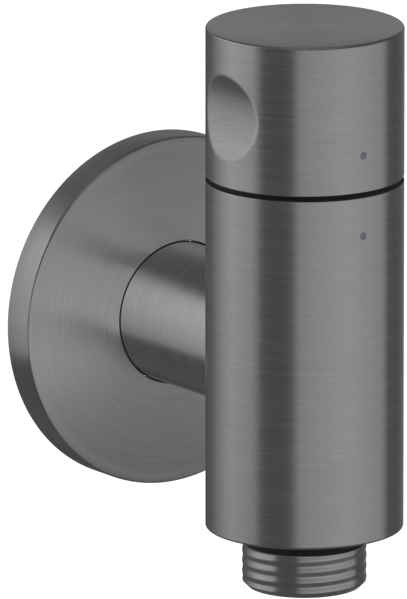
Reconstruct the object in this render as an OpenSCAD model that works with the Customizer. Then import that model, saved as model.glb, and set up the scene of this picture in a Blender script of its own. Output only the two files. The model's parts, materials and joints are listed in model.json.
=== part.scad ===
// Wall-mounted stop valve with ceramic quarter-turn headwork, check valve and sliding rosette.
// The origin is on the inlet axis in the plane of the wall. The valve stands out along -Y, and +Z is up.
// Pieces of the upright cylinder are drawn about the body axis, and those of the arm about the inlet axis.

/* [Body] */
// Outer diameter of the body and of the handle
body_d = 33.3; // [32.5:0.1:38]
// Height of the body above the inlet axis
body_up = 30.4; // [29:0.1:40]
// Depth of the body below the inlet axis
body_down = 29.6; // [28.5:0.1:40]
// Distance from the wall to the body axis
stand_off = 44; // [40:0.5:70]
// Rounding of the outer edges of body and handle
edge_r = 0.4; // [0.2:0.05:0.8]

/* [Handle] */
// Height of the dark gap between body and handle
handle_gap = 0.7; // [0.5:0.05:1.2]
// Height of the handle
handle_h = 25.5; // [24:0.5:36]
// Angle that the handle turns from closed to open
handle_turn = 90; // [45:5:90]
// Height of the finger dimples, seen from the side
dimple_h = 14.2; // [10:0.2:16]
// Depth of the finger dimples at their middle
dimple_depth = 1.6; // [1:0.1:2.5]
// Amount that the finger dimples sit below the middle of the handle
dimple_drop = 0.7; // [0:0.1:2]
// Diameter of the index dots
dot_d = 1.3; // [1:0.1:2.5]
// Depth of the index dots
dot_depth = 0.6; // [0.4:0.1:1]
// Distance of the body's index dot from the edge of the gap
body_dot_offset = 6.7; // [6:0.1:8]
// Distance of the handle's index dot from the edge of the gap
handle_dot_offset = 6.4; // [6:0.1:8]
// Amount that the black glide ring in the gap lies inside the body's outline
slide_inset = 0.65; // [0.5:0.05:0.9]

/* [Arm and inlet] */
// Outer diameter of the arm
arm_d = 24; // [22:0.1:25]
// Water way through the arm
arm_bore_d = 12.5; // [10:0.1:13]
// Depth of the shallow seat that the arm is brazed into, at its sides
arm_seat_depth = 0.5; // [0.3:0.05:0.8]
// Diameter of the brazing spigot
spigot_d = 17; // [15.5:0.1:18]
// Wall left between the spigot pocket and the valve chamber
port_wall = 0.7; // [0.5:0.05:0.9]
// Major diameter of the G1/2 pipe threads
pipe_thread_d = 20.955; // [20.8:0.005:21.1]
// Length of the inlet thread behind the wall plane
inlet_thread_l = 12; // [9:0.5:18]
// Length of the inlet thread in front of the wall plane
inlet_thread_front = 1.2; // [0.8:0.1:1.6]
// Width of the groove for the sealing ring of the inlet
seal_groove_w = 1.8; // [1.4:0.1:2]
// Depth of the groove for the sealing ring, below the thread
seal_groove_depth = 1.25; // [0.8:0.05:1.6]
// Height that the sealing ring stands above the thread
seal_ring_proud = 0.4; // [0.2:0.05:0.6]
// Chamfer at the free end of both pipe threads
thread_chamfer = 0.93; // [0.6:0.01:1.2]

/* [Rosette] */
// Outer diameter of the rosette
rosette_d = 60; // [55:0.5:70]
// Thickness of the rosette at its edge
rosette_edge = 6; // [5.6:0.1:8]
// Rise of the rosette's face from its edge to its hole
rosette_crown = 1.8; // [1.2:0.1:2.5]
// Wall thickness of the rosette
rosette_wall = 2; // [1.5:0.1:2.5]
// Gap between the rosette's hole and the arm
rosette_gap = 0.3; // [0.2:0.05:0.5]
// Wall thickness of the rosette's hub
rosette_hub_wall = 3.5; // [3:0.1:5]
// Distance of the rosette's hub from the wall
rosette_hub_back = 1.2; // [0.8:0.1:2]
// Chamfer of the rosette's front edge
rosette_chamfer = 0.3; // [0.2:0.05:0.6]
// Cord diameter of the ring that grips the arm
grip_cord_d = 1.8; // [1.5:0.1:2]

/* [Headwork] */
// Diameter of the ceramic discs
disc_d = 13; // [12.6:0.1:13.2]
// Thickness of the lower, fixed disc
fixed_disc_h = 3.2; // [2.6:0.1:3.4]
// Thickness of the upper, rotating disc
rotating_disc_h = 3.4; // [3:0.1:3.6]
// Angle of each water port in the discs
port_angle = 80; // [60:2:84]
// Outer diameter of the ports in the fixed disc
port_d = 10.4; // [9:0.1:10.6]
// Diameter of the solid middle between the ports
port_web_d = 4.4; // [4:0.1:5]
// Depth of the valve seat below the inlet axis
seat_drop = 8; // [7.6:0.1:8.4]
// Height of the rubber ring under the fixed disc
seat_seal_h = 1.8; // [1.4:0.1:2.2]
// Wall thickness of the rubber ring under the fixed disc
seat_seal_wall = 1.1; // [0.9:0.05:1.2]
// Wall of the skirt around the discs
skirt_wall = 0.9; // [0.8:0.05:1]
// Water space between the skirt and the body
skirt_gap = 1.1; // [1:0.05:1.2]
// Major diameter of the headwork's mounting thread
bonnet_thread_d = 16.66; // [16.6:0.02:17]
// Height of the threaded bore's lower end above the inlet axis
bonnet_thread_base = 11; // [9:0.5:13]
// Diameter of the flange that sits in the body
flange_d = 22.8; // [21.5:0.1:23.6]
// Depth of the flange seat below the body's top
flange_depth = 3; // [2.5:0.1:4]
// Height that the flange stands above the body's top
flange_rise = 0.5; // [0.4:0.05:0.6]
// Width across flats of the headwork's hexagon
hex_af = 19; // [17:0.5:20]
// Height of the hexagon
hex_h = 4.5; // [3.5:0.1:5]
// Diameter of the neck above the hexagon
neck_d = 13.8; // [12:0.1:14.5]
// Height of the neck above the hexagon
neck_h = 3; // [2:0.1:4]
// Cord diameter of the headwork's sealing ring
bonnet_cord_d = 1.8; // [1.5:0.1:2]

/* [Spindle] */
// Diameter of the spindle
spindle_d = 8; // [7.6:0.1:8.6]
// Diameter of the collar that drives the upper disc
collar_d = 12.6; // [11.8:0.1:12.6]
// Height of the collar
collar_h = 3.1; // [2.5:0.1:3.5]
// Width of the tongue that drives the upper disc
tongue_w = 3.9; // [3:0.1:4.2]
// Depth of the tongue in the upper disc
tongue_depth = 1.4; // [1:0.1:1.8]
// Reach of the stop lug beyond the collar
lug_reach = 0.9; // [0.7:0.05:1]
// Angle that the stop lug spans
lug_angle = 20; // [14:1:26]
// Thickness of the low-friction washer
washer_h = 0.5; // [0.4:0.05:0.8]
// Cord diameter of the spindle's sealing rings
spindle_cord_d = 1.1; // [1:0.05:1.3]
// Height of the lower sealing ring above the lower end of the mounting thread
spindle_ring_rise = 3; // [2:0.5:6]
// Distance between the two sealing rings
spindle_ring_step = 3.3; // [2.5:0.1:4]
// Thickness of the circlip
circlip_h = 0.9; // [0.7:0.05:1.1]
// Radial height of the circlip outside the spindle
circlip_reach = 1.6; // [1.2:0.1:1.9]
// Depth of the circlip's groove
circlip_groove = 0.6; // [0.4:0.05:0.8]
// Angle that the circlip is open
circlip_opening = 60; // [40:5:90]
// Number of spline teeth
spline_teeth = 20; // [16:1:24]
// Depth of the spline teeth
spline_depth = 0.5; // [0.4:0.05:0.7]
// Length of the spline
spline_l = 6; // [5:0.5:7]

/* [Adapter and screws] */
// Outer diameter of the splined adapter in the handle
adapter_d = 15.8; // [15:0.1:17]
// Thickness of the web that the screw clamps
adapter_web = 1.6; // [1.2:0.1:2.2]
// Depth of the recess around the screw's head
adapter_recess = 3.2; // [2.8:0.1:3.6]
// Diameter of the adapter's screw
screw_d = 3.9; // [3:0.1:4]
// Length of the screw below its head
screw_l = 9.5; // [8:0.5:10]
// Diameter of the screw's head
screw_head_d = 7; // [6:0.1:7.4]
// Height of the screw's head
screw_head_h = 2.2; // [1.8:0.1:2.6]
// Width across flats of the socket in the screw's head
screw_socket_af = 3; // [2:0.5:4]
// Depth of the socket in the screw's head
screw_socket_depth = 1.3; // [0.8:0.1:1.5]
// Diameter of the grub screw at the back of the handle
grub_d = 4; // [3:0.1:5]
// Length of the grub screw
grub_l = 8; // [6:0.5:8]
// Width across flats of the grub screw's socket
grub_socket_af = 2; // [1.5:0.1:2]
// Depth of the grub screw's socket
grub_socket_depth = 3.2; // [2:0.2:4]
// Depth of the pocket in the adapter that the grub screw enters
grub_seat = 0.9; // [0.5:0.1:1.5]

/* [Check valve] */
// Thickness of the wall between the headwork's seat and the check valve
seat_wall = 2.6; // [2:0.1:4]
// Outer diameter of the check valve's cage
cage_d = 15.2; // [15:0.1:15.4]
// Length of the cage
cage_l = 12.8; // [12.4:0.1:13.2]
// Diameter of the cage's inlet hole
cage_hole_d = 8.8; // [8:0.1:9.2]
// Height of the cage's solid head
cage_head_h = 3.5; // [3.1:0.1:3.7]
// Wall thickness of the cage around the poppet
cage_wall = 1.2; // [1:0.1:1.4]
// Height of the spider that guides the stem
spider_h = 1.5; // [1.2:0.1:2]
// Diameter of the spider's hub
spider_hub_d = 4.6; // [4:0.1:4.8]
// Width of the spider's four arms
spider_arm_w = 1.2; // [1:0.1:1.6]
// Cord diameter of the cage's sealing ring
cage_cord_d = 1.1; // [1:0.05:1.2]
// Diameter of the poppet
poppet_d = 11.2; // [10.8:0.1:11.4]
// Thickness of the poppet's plate
poppet_h = 1.2; // [1:0.1:1.4]
// Diameter of the poppet's stem
stem_d = 2.4; // [2:0.1:2.6]
// Height of the rubber ring on the poppet
poppet_seal_h = 0.75; // [0.6:0.05:0.9]
// Diameter of the land inside the rubber ring
seal_land_d = 6.7; // [6:0.1:7]
// Travel of the poppet from closed to open
poppet_travel = 2.5; // [1.5:0.1:2.6]
// Wire diameter of the check valve's spring
wire_d = 0.5; // [0.4:0.05:0.55]
// Mean diameter of the spring
coil_d = 5.8; // [5.6:0.1:6.4]
// Number of spring turns
coil_turns = 4.5; // [3.5:0.5:4.5]

/* [Outlet] */
// Length of the outlet thread
outlet_thread_l = 7.35; // [6:0.05:14]
// Height of the black gasket between body and thread
gasket_h = 2.8; // [1.6:0.1:3.4]
// Amount that the gasket lies inside the thread's outline
gasket_inset = 0.2; // [0.16:0.01:0.4]
// Diameter of the nipple's thread inside the body
nipple_d = 17; // [16.6:0.1:17.4]
// Water way through the nipple
nipple_bore_d = 11.8; // [10.5:0.1:12]
// Width across flats of the socket inside the nipple
socket_af = 12; // [12:0.1:13]
// Depth of the socket
socket_depth = 8; // [6:0.5:9]

/* [Fits] */
// Gap between fixed pieces that fit into each other
fit_gap = 0.1; // [0.05:0.01:0.15]
// Gap between pieces that turn or slide in each other
run_gap = 0.05; // [0.03:0.01:0.08]
// Gap between the lapped faces of the ceramic discs
lap_gap = 0.02; // [0.01:0.01:0.04]
// Free gap beside moving pieces that don't guide each other
free_gap = 0.35; // [0.3:0.05:0.45]

/* [Hidden] */
$fn = 96;

graphite = "#6a6b6d";
bare_brass = "#c8a458";
steel = "#a9adb1";
ceramic_white = "#ece8de";
ceramic_grey = "#8f9296";
rubber_black = "#1c1c1d";
plastic_black = "#242425";
plastic_white = "#e3e1da";
dot_enamel = "#5d6878";

body_r = body_d / 2;
arm_r = arm_d / 2;
thread_r = pipe_thread_d / 2;
cut = 0.5; // overlap of cutting shapes beyond the face that they open

// Heights along the body axis, from the valve seat up through the headwork
seat_z = -seat_drop;
fixed_disc_z = seat_z + seat_seal_h;
rotating_disc_z = fixed_disc_z + fixed_disc_h + lap_gap;
collar_z = rotating_disc_z + rotating_disc_h + run_gap;
washer_z = collar_z + collar_h + run_gap;
ceiling_z = washer_z + washer_h + run_gap;
flange_z = body_up - flange_depth;
flange_top = body_up + flange_rise;
hex_top = flange_top + hex_h;
neck_top = hex_top + neck_h;
circlip_z = neck_top + free_gap;
adapter_z = circlip_z + circlip_h + 2 * free_gap;
spindle_top = adapter_z + spline_l;
web_z = spindle_top + 2 * fit_gap;
head_z = web_z + adapter_web;
adapter_top = head_z + adapter_recess;
handle_z = body_up + handle_gap;
handle_top = handle_z + handle_h;
handle_hollow_top = hex_top + 2 * free_gap;
handle_hollow_r = hex_af / sqrt(3) + 4 * free_gap;
handle_bore_top = adapter_top + fit_gap;
dimple_z = (handle_z + handle_top) / 2 - dimple_drop;
dimple_r = (dimple_h ^ 2 / 4 + dimple_depth ^ 2) / (2 * dimple_depth);
grub_z = (adapter_z + adapter_top) / 2;
grub_y = adapter_d / 2 - grub_seat + run_gap;

// Radii of the headwork
disc_r = disc_d / 2;
skirt_in_r = disc_r + fit_gap;
skirt_r = skirt_in_r + skirt_wall;
chamber_r = skirt_r + skirt_gap;
bonnet_r = bonnet_thread_d / 2;
bonnet_bore_r = bonnet_r + fit_gap;
spindle_r = spindle_d / 2;
spindle_bore_r = spindle_r + run_gap;
spline_r = spindle_r - fit_gap;
flange_r = flange_d / 2;
lug_r = collar_d / 2 + lug_reach;
slot_r = lug_r + fit_gap;
lug_rest = 225; // direction of the stop lug while the valve is closed
lug_spare = 1; // degrees left free at each end of the lug's slot
upper_skirt_r = min(bonnet_r, slot_r + skirt_wall);
skirt_step_z = rotating_disc_z + rotating_disc_h - 2 * free_gap;

// Seat of the arm in the body, measured from the body axis
arm_seat_y = sqrt(body_r ^ 2 - (arm_r + fit_gap) ^ 2) - arm_seat_depth;
spigot_y = chamber_r + port_wall + fit_gap;
spigot_l = arm_seat_y - spigot_y;
arm_end = stand_off - arm_seat_y;

// Heights along the body axis, from the headwork's seat down through the check valve
pocket_top = seat_z - seat_wall;
cage_top = pocket_top - fit_gap;
cage_z = cage_top - cage_l;
nipple_top = cage_z - run_gap;
cage_seat_z = cage_top - cage_head_h;
spider_top = cage_z + spider_h;
poppet_seal_top = cage_seat_z - run_gap;
poppet_plate_top = poppet_seal_top - poppet_seal_h;
poppet_bottom = poppet_plate_top - poppet_h;
stem_end = cage_z - free_gap;
cage_r = cage_d / 2;
pocket_r = cage_r + 2 * fit_gap;
cage_in_r = cage_r - cage_wall;
seal_land_r = seal_land_d / 2;
nipple_r = nipple_d / 2;
nipple_bore_r = nipple_r + fit_gap;
gasket_z = -body_down - gasket_h;
outlet_end = gasket_z - outlet_thread_l;

// Sealing rings: the radius of each cord's centre line
bonnet_ring_bore = bonnet_r + bonnet_cord_d + fit_gap;
bonnet_ring_z = flange_z - bonnet_cord_d / 2 - run_gap;
bonnet_groove_z = flange_z - bonnet_cord_d - 2 * run_gap;
bonnet_neck_r = bonnet_ring_bore - bonnet_cord_d - 2 * run_gap;
spindle_groove_r = spindle_bore_r - spindle_cord_d - 2 * run_gap;
spindle_ring_z = [for (i = [0, 1]) bonnet_thread_base + spindle_ring_rise + spindle_ring_step * i];
cage_groove_r = pocket_r - cage_cord_d - 2 * run_gap;
cage_ring_z = cage_top - cage_head_h / 2;
grip_z = rosette_edge + rosette_crown - rosette_wall - grip_cord_d / 2 + 2 * fit_gap;
grip_groove_r = arm_r + grip_cord_d + 2 * run_gap;

// Rosette, measured from the wall along the inlet axis
rosette_r = rosette_d / 2;
rosette_hole_r = arm_r + rosette_gap;
rosette_hub_r = rosette_hole_r + rosette_hub_wall;
rosette_front = rosette_edge + rosette_crown;
face_reach = rosette_r - rosette_chamfer - rosette_hole_r;
face_arc_r = (face_reach ^ 2 + rosette_crown ^ 2) / (2 * rosette_crown);
arm_back = inlet_thread_front + seal_groove_w;

// Closing spring of the check valve
coil_r = coil_d / 2;
wire_r = wire_d / 2;
coil_low = spider_top + wire_r + run_gap;
coil_high = poppet_bottom - wire_r - run_gap;
coil_steps = 8;
coil_rings = coil_steps * coil_turns;

function corner(r, z, e, from) = [
    for (i = [0 : 4]) [r + e * cos(from + 22.5 * i), z + e * sin(from + 22.5 * i)]
];
function coil_point(i) = [
    coil_r * cos(360 * i / coil_steps), coil_r * sin(360 * i / coil_steps),
    coil_low + (coil_high - coil_low) * i / coil_rings
];
function face_height(r) = rosette_front - face_arc_r + sqrt(face_arc_r ^ 2 - (r - rosette_hole_r) ^ 2);

module on_body_axis() translate([0, -stand_off, 0]) children();
module on_inlet_axis() rotate([90, 0, 0]) children();
module ring(r_in, r_out, z, h) rotate_extrude() translate([r_in, z]) square([r_out - r_in, h]);
module disc(r, z, h) translate([0, 0, z]) cylinder(r = r, h = h);
module cord(r, cord_r, z)
    translate([0, 0, z]) rotate_extrude() translate([r, 0]) circle(r = cord_r, $fn = 32);
module hexagon(af, z, h) translate([0, 0, z]) cylinder(r = af / sqrt(3), h = h, $fn = 6);

// Wedge from the axis outwards, less than half a turn wide
module wedge(r, from, to, z, h)
    translate([0, 0, z]) linear_extrude(h) polygon(concat(
        [[0, 0]], [for (i = [0 : 4]) let (a = from + (to - from) * i / 4) r * [cos(a), sin(a)]]
    ));

// Upright cylinder with its outer edges rounded
module turned(r, low, high, low_e, high_e)
    rotate_extrude() polygon(concat(
        [[0, low]], corner(r - low_e, low + low_e, low_e, -90),
        corner(r - high_e, high - high_e, high_e, 0), [[0, high]]
    ));

// Round hole from the front of the cylinder inwards, at height z
module front_drill(r, z, depth)
    translate([0, -body_r - cut, z]) rotate([-90, 0, 0]) cylinder(r = r, h = depth + cut, $fn = 32);

module index_dot(z)
    intersection() {
        disc(body_r, z - dot_d, 2 * dot_d);
        front_drill(dot_d / 2, z, dot_depth);
    }

module spline(extra, z, h)
    translate([0, 0, z]) linear_extrude(h) polygon([
        for (i = [0 : 2 * spline_teeth - 1]) let (a = 180 * i / spline_teeth)
            (spline_r + extra - (i % 2) * spline_depth) * [cos(a), sin(a)]
    ]);

module body() color(graphite) on_body_axis() difference() {
    turned(body_r, -body_down, body_up, edge_r, edge_r / 2);
    disc(flange_r + fit_gap, flange_z, flange_depth + cut);
    disc(bonnet_ring_bore, bonnet_groove_z, flange_z - bonnet_groove_z + cut);
    disc(bonnet_bore_r, bonnet_thread_base - cut, bonnet_groove_z - bonnet_thread_base + 2 * cut);
    disc(chamber_r, seat_z, bonnet_thread_base - seat_z);
    disc(port_d / 2, pocket_top - cut, seat_wall + 2 * cut);
    disc(pocket_r, nipple_top - cut, pocket_top - nipple_top + cut);
    disc(nipple_bore_r, -body_down - cut, body_down + nipple_top + cut);
    rotate([-90, 0, 0]) {
        disc(arm_r + fit_gap, arm_seat_y, body_r);
        disc(spigot_d / 2 + fit_gap, spigot_y - fit_gap, body_r);
        disc(arm_bore_d / 2, 0, body_r);
    }
    front_drill(dot_d / 2 + run_gap, body_up - body_dot_offset, dot_depth + run_gap);
}

module body_dot() color(dot_enamel) on_body_axis() index_dot(body_up - body_dot_offset);

module inlet_arm() color(graphite) on_inlet_axis() difference() {
    rotate_extrude() polygon([
        [0, -inlet_thread_l], [thread_r - thread_chamfer, -inlet_thread_l],
        [thread_r, -inlet_thread_l + thread_chamfer], [thread_r, inlet_thread_front],
        [thread_r - seal_groove_depth, inlet_thread_front], [thread_r - seal_groove_depth, arm_back],
        [arm_r - edge_r, arm_back], [arm_r, arm_back + edge_r], [arm_r, arm_end],
        [spigot_d / 2, arm_end], [spigot_d / 2, arm_end + spigot_l], [0, arm_end + spigot_l]
    ]);
    disc(arm_bore_d / 2, -inlet_thread_l - cut, inlet_thread_l + arm_end + spigot_l + 2 * cut);
}

module inlet_seal_ring() color(plastic_white) on_inlet_axis()
    ring(thread_r - seal_groove_depth + run_gap, thread_r + seal_ring_proud,
        inlet_thread_front + run_gap, seal_groove_w - 2 * run_gap);

module rosette() color(graphite) on_inlet_axis() {
    face = [for (i = [0 : 12]) let (r = rosette_hole_r + face_reach * i / 12) [r, face_height(r)]];
    back = [
        for (i = [12 : -1 : 3]) let (r = rosette_hole_r + face_reach * i / 12)
            [r, face_height(r) - rosette_wall]
    ];
    inner_r = rosette_r - rosette_wall;
    groove_z = grip_z - grip_cord_d / 2 - 2 * run_gap;
    groove_top = grip_z + grip_cord_d / 2 + 2 * run_gap;
    rotate_extrude() polygon(concat(
        [
            [rosette_hub_r, rosette_hub_back], [rosette_hole_r, rosette_hub_back],
            [rosette_hole_r, groove_z], [grip_groove_r + run_gap, groove_z],
            [grip_groove_r + run_gap, groove_top], [rosette_hole_r, groove_top]
        ],
        face,
        [
            [rosette_r, rosette_edge - rosette_chamfer], [rosette_r, 0],
            [inner_r, 0], [inner_r, face_height(inner_r) - rosette_wall]
        ],
        [for (p = back) if (p[0] < inner_r && p[0] > rosette_hub_r) p],
        [[rosette_hub_r, face_height(rosette_hub_r) - rosette_wall]]
    ));
}

module rosette_o_ring() color(rubber_black) on_inlet_axis()
    cord(arm_r + run_gap + grip_cord_d / 2, grip_cord_d / 2, grip_z);

module headwork_bonnet() color(bare_brass) on_body_axis() difference() {
    union() {
        disc(skirt_r, seat_z + free_gap, skirt_step_z - seat_z);
        disc(upper_skirt_r, skirt_step_z, bonnet_thread_base - skirt_step_z + cut);
        disc(bonnet_r, bonnet_thread_base, bonnet_groove_z - bonnet_thread_base);
        disc(bonnet_neck_r, bonnet_groove_z - cut, flange_z - bonnet_groove_z + 2 * cut);
        disc(flange_r, flange_z, flange_top - flange_z);
        hexagon(hex_af, flange_top - cut, hex_h + cut);
        disc(neck_d / 2, hex_top - cut, neck_h + cut);
    }
    disc(skirt_in_r, seat_z, ceiling_z - seat_z);
    disc(spindle_bore_r, ceiling_z - cut, neck_top - ceiling_z + 2 * cut);
    // two side windows that let the water in beside the rotating disc
    for (side = [0, 180])
        wedge(chamber_r, side - port_angle / 2, side + port_angle / 2,
            rotating_disc_z + 2 * run_gap, rotating_disc_h - 4 * run_gap);
    // slot in which the stop lug turns
    intersection() {
        disc(slot_r, collar_z - run_gap, ceiling_z - collar_z + run_gap);
        wedge(2 * chamber_r,
            lug_rest - lug_angle / 2 - lug_spare, lug_rest + handle_turn + lug_angle / 2 + lug_spare,
            collar_z - run_gap, ceiling_z - collar_z + run_gap);
    }
}

module bonnet_o_ring() color(rubber_black) on_body_axis()
    cord(bonnet_ring_bore - run_gap - bonnet_cord_d / 2, bonnet_cord_d / 2, bonnet_ring_z);

module seat_seal() color(rubber_black) on_body_axis()
    ring(disc_r - seat_seal_wall, disc_r, seat_z, seat_seal_h);

module fixed_disc() color(ceramic_white) on_body_axis() difference() {
    disc(disc_r, fixed_disc_z, fixed_disc_h);
    for (side = [0, 180]) difference() {
        intersection() {
            disc(port_d / 2, fixed_disc_z - cut, fixed_disc_h + 2 * cut);
            wedge(disc_r * 2, side - port_angle / 2, side + port_angle / 2,
                fixed_disc_z - cut, fixed_disc_h + 2 * cut);
        }
        disc(port_web_d / 2, fixed_disc_z - 2 * cut, fixed_disc_h + 4 * cut);
    }
}

module rotating_disc() color(ceramic_grey) on_body_axis() difference() {
    disc(disc_r, rotating_disc_z, rotating_disc_h);
    for (side = [90, 270]) difference() {
        wedge(disc_r * 2, side - port_angle / 2, side + port_angle / 2,
            rotating_disc_z - cut, rotating_disc_h + 2 * cut);
        disc(port_web_d / 2, rotating_disc_z - 2 * cut, rotating_disc_h + 4 * cut);
    }
    groove_z = rotating_disc_z + rotating_disc_h - tongue_depth - fit_gap;
    translate([-disc_r - cut, -tongue_w / 2 - run_gap, groove_z])
        cube([2 * (disc_r + cut), tongue_w + 2 * run_gap, tongue_depth + fit_gap + cut]);
}

module spindle() color(bare_brass) on_body_axis() difference() {
    union() {
        disc(collar_d / 2, collar_z, collar_h);
        disc(spindle_r, collar_z, adapter_z - collar_z);
        spline(0, adapter_z - cut, spline_l + cut);
        // tongue in the groove of the rotating disc
        intersection() {
            translate([-collar_d / 2, -tongue_w / 2, collar_z - tongue_depth])
                cube([collar_d, tongue_w, tongue_depth + cut]);
            disc(collar_d / 2, collar_z - tongue_depth, tongue_depth + cut);
        }
        intersection() {
            disc(lug_r, collar_z, collar_h);
            wedge(2 * lug_r, lug_rest - lug_angle / 2, lug_rest + lug_angle / 2, collar_z, collar_h);
        }
    }
    for (z = spindle_ring_z)
        ring(spindle_groove_r, spindle_r + cut,
            z - spindle_cord_d / 2 - run_gap, spindle_cord_d + 2 * run_gap);
    ring(spindle_r - circlip_groove, spindle_r + cut, circlip_z - run_gap, circlip_h + 2 * run_gap);
    disc(screw_d / 2 + run_gap, head_z - screw_l - cut, screw_l);
}

module spindle_o_rings() color(rubber_black) on_body_axis()
    for (z = spindle_ring_z)
        cord(spindle_bore_r - run_gap - spindle_cord_d / 2, spindle_cord_d / 2, z);

module spindle_washer() color(plastic_white) on_body_axis()
    ring(spindle_r + run_gap, collar_d / 2 - run_gap, washer_z, washer_h);

module spindle_circlip() color(steel) on_body_axis() difference() {
    ring(spindle_r - circlip_groove + run_gap, spindle_r + circlip_reach, circlip_z, circlip_h);
    wedge(2 * spindle_d, 90 - circlip_opening / 2, 90 + circlip_opening / 2,
        circlip_z - cut, circlip_h + 2 * cut);
}

module handle_insert() color(plastic_black) on_body_axis() difference() {
    disc(adapter_d / 2, adapter_z, adapter_top - adapter_z);
    spline(run_gap, adapter_z - cut, web_z - adapter_z + cut);
    disc(screw_d / 2 + fit_gap, web_z - cut, adapter_web + 2 * cut);
    disc(screw_head_d / 2 + free_gap, head_z, adapter_recess + cut);
    translate([0, adapter_d / 2 - grub_seat, grub_z]) rotate([-90, 0, 0])
        cylinder(r = grub_d / 2 + run_gap, h = adapter_d);
}

module insert_screw() color(steel) on_body_axis() difference() {
    union() {
        disc(screw_d / 2, head_z - screw_l, screw_l + cut);
        disc(screw_head_d / 2, head_z, screw_head_h);
    }
    hexagon(screw_socket_af, head_z + screw_head_h - screw_socket_depth, screw_socket_depth + cut);
}

module handle_set_screw() color(steel) on_body_axis()
    translate([0, grub_y, grub_z]) rotate([-90, 0, 0]) difference() {
        disc(grub_d / 2, 0, grub_l);
        hexagon(grub_socket_af, grub_l - grub_socket_depth, grub_socket_depth + cut);
    }

// Finger dimple, the hollow that a wide cylinder lying across the handle leaves in its side
module finger_dimple(side)
    translate([side * (body_r - dimple_depth + dimple_r), 0, dimple_z]) rotate([90, 0, 0])
        cylinder(r = dimple_r, h = 2 * body_r, center = true);

module handle() color(graphite) on_body_axis() difference() {
    turned(body_r, handle_z, handle_top, edge_r / 2, edge_r);
    disc(handle_hollow_r, handle_z - cut, handle_hollow_top - handle_z + cut);
    disc(adapter_d / 2 + run_gap, handle_z, handle_bore_top - handle_z);
    translate([0, 0, grub_z]) rotate([-90, 0, 0]) cylinder(r = grub_d / 2 + run_gap, h = body_r + cut);
    for (side = [-1, 1]) finger_dimple(side);
    front_drill(dot_d / 2 + run_gap, handle_z + handle_dot_offset, dot_depth + run_gap);
}

module handle_dot() color(dot_enamel) on_body_axis() index_dot(handle_z + handle_dot_offset);

module slide_ring() color(plastic_black) on_body_axis()
    ring(flange_r + fit_gap, body_r - slide_inset, body_up, handle_gap - 2 * run_gap);

module check_valve_housing() color(plastic_white) on_body_axis() difference() {
    disc(cage_r, cage_z, cage_l);
    disc(cage_hole_d / 2, cage_seat_z - cut, cage_head_h + 2 * cut);
    disc(cage_in_r, spider_top, cage_seat_z - spider_top);
    ring(cage_groove_r, cage_r + cut, cage_ring_z - cage_cord_d / 2 - run_gap, cage_cord_d + 2 * run_gap);
    // water windows between the arms of the spider
    difference() {
        disc(cage_in_r, cage_z - cut, spider_h + 2 * cut);
        disc(spider_hub_d / 2, cage_z - 2 * cut, spider_h + 4 * cut);
        for (a = [0, 90]) rotate([0, 0, a])
            translate([-cage_r, -spider_arm_w / 2, cage_z - 2 * cut])
                cube([cage_d, spider_arm_w, spider_h + 4 * cut]);
    }
    disc(stem_d / 2 + run_gap, cage_z - cut, spider_h + 2 * cut);
}

module check_valve_o_ring() color(rubber_black) on_body_axis()
    cord(pocket_r - run_gap - cage_cord_d / 2, cage_cord_d / 2, cage_ring_z);

module check_poppet() color(plastic_black) on_body_axis() {
    nose_h = cage_head_h / 2;
    disc(poppet_d / 2, poppet_bottom, poppet_h);
    disc(seal_land_r, poppet_plate_top - cut, poppet_seal_h + cut);
    translate([0, 0, poppet_seal_top]) cylinder(r1 = seal_land_r, r2 = seal_land_r / 3, h = nose_h);
    disc(stem_d / 2, stem_end, poppet_bottom - stem_end + cut);
}

module poppet_seal() color(rubber_black) on_body_axis()
    ring(seal_land_r + run_gap, poppet_d / 2 - run_gap, poppet_plate_top, poppet_seal_h);

module check_spring() color(steel) on_body_axis() {
    sides = 6;
    points = [
        for (i = [0 : coil_rings]) let (p = coil_point(i), t = 360 * i / coil_steps)
            for (k = [0 : sides - 1]) let (a = 360 * k / sides)
                p + wire_r * [cos(a) * cos(t), cos(a) * sin(t), sin(a)]
    ];
    walls = [
        for (i = [0 : coil_rings - 1], k = [0 : sides - 1])
            let (a = i * sides + k, b = i * sides + (k + 1) % sides)
                each [[a, b, b + sides], [a, b + sides, a + sides]]
    ];
    last = coil_rings * sides;
    caps = [for (k = [1 : sides - 2]) each [[0, k + 1, k], [last, last + k, last + k + 1]]];
    polyhedron(points, concat(walls, caps));
}

coil_pitches = [for (i = [0 : coil_rings - coil_steps]) norm(coil_point(i + coil_steps) - coil_point(i))];
coil_gap = min(coil_pitches) - wire_d;
echo(least_gap_between_spring_turns = coil_gap);

module outlet_nipple() color(graphite) on_body_axis() difference() {
    rotate_extrude() polygon([
        [0, outlet_end], [thread_r - thread_chamfer, outlet_end],
        [thread_r, outlet_end + thread_chamfer], [thread_r, gasket_z],
        [nipple_r, gasket_z], [nipple_r, nipple_top], [0, nipple_top]
    ]);
    disc(nipple_bore_d / 2, outlet_end - cut, nipple_top - outlet_end + 2 * cut);
    hexagon(socket_af, outlet_end - cut, socket_depth + cut);
}

module outlet_gasket() color(rubber_black) on_body_axis()
    ring(nipple_r + run_gap, thread_r - gasket_inset, gasket_z, gasket_h);

body();
body_dot();
inlet_arm();
inlet_seal_ring();
headwork_bonnet();
bonnet_o_ring();
seat_seal();
fixed_disc();
slide_ring();
check_valve_housing();
check_valve_o_ring();
check_spring();
outlet_nipple();
outlet_gasket();
handle();
handle_dot();
handle_insert();
insert_screw();
handle_set_screw();
spindle();
spindle_o_rings();
spindle_washer();
spindle_circlip();
rotating_disc();
check_poppet();
poppet_seal();
rosette_o_ring();
rosette();
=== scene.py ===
import json
import math

import bpy
import numpy as np
from mathutils import Matrix, Vector

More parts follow.
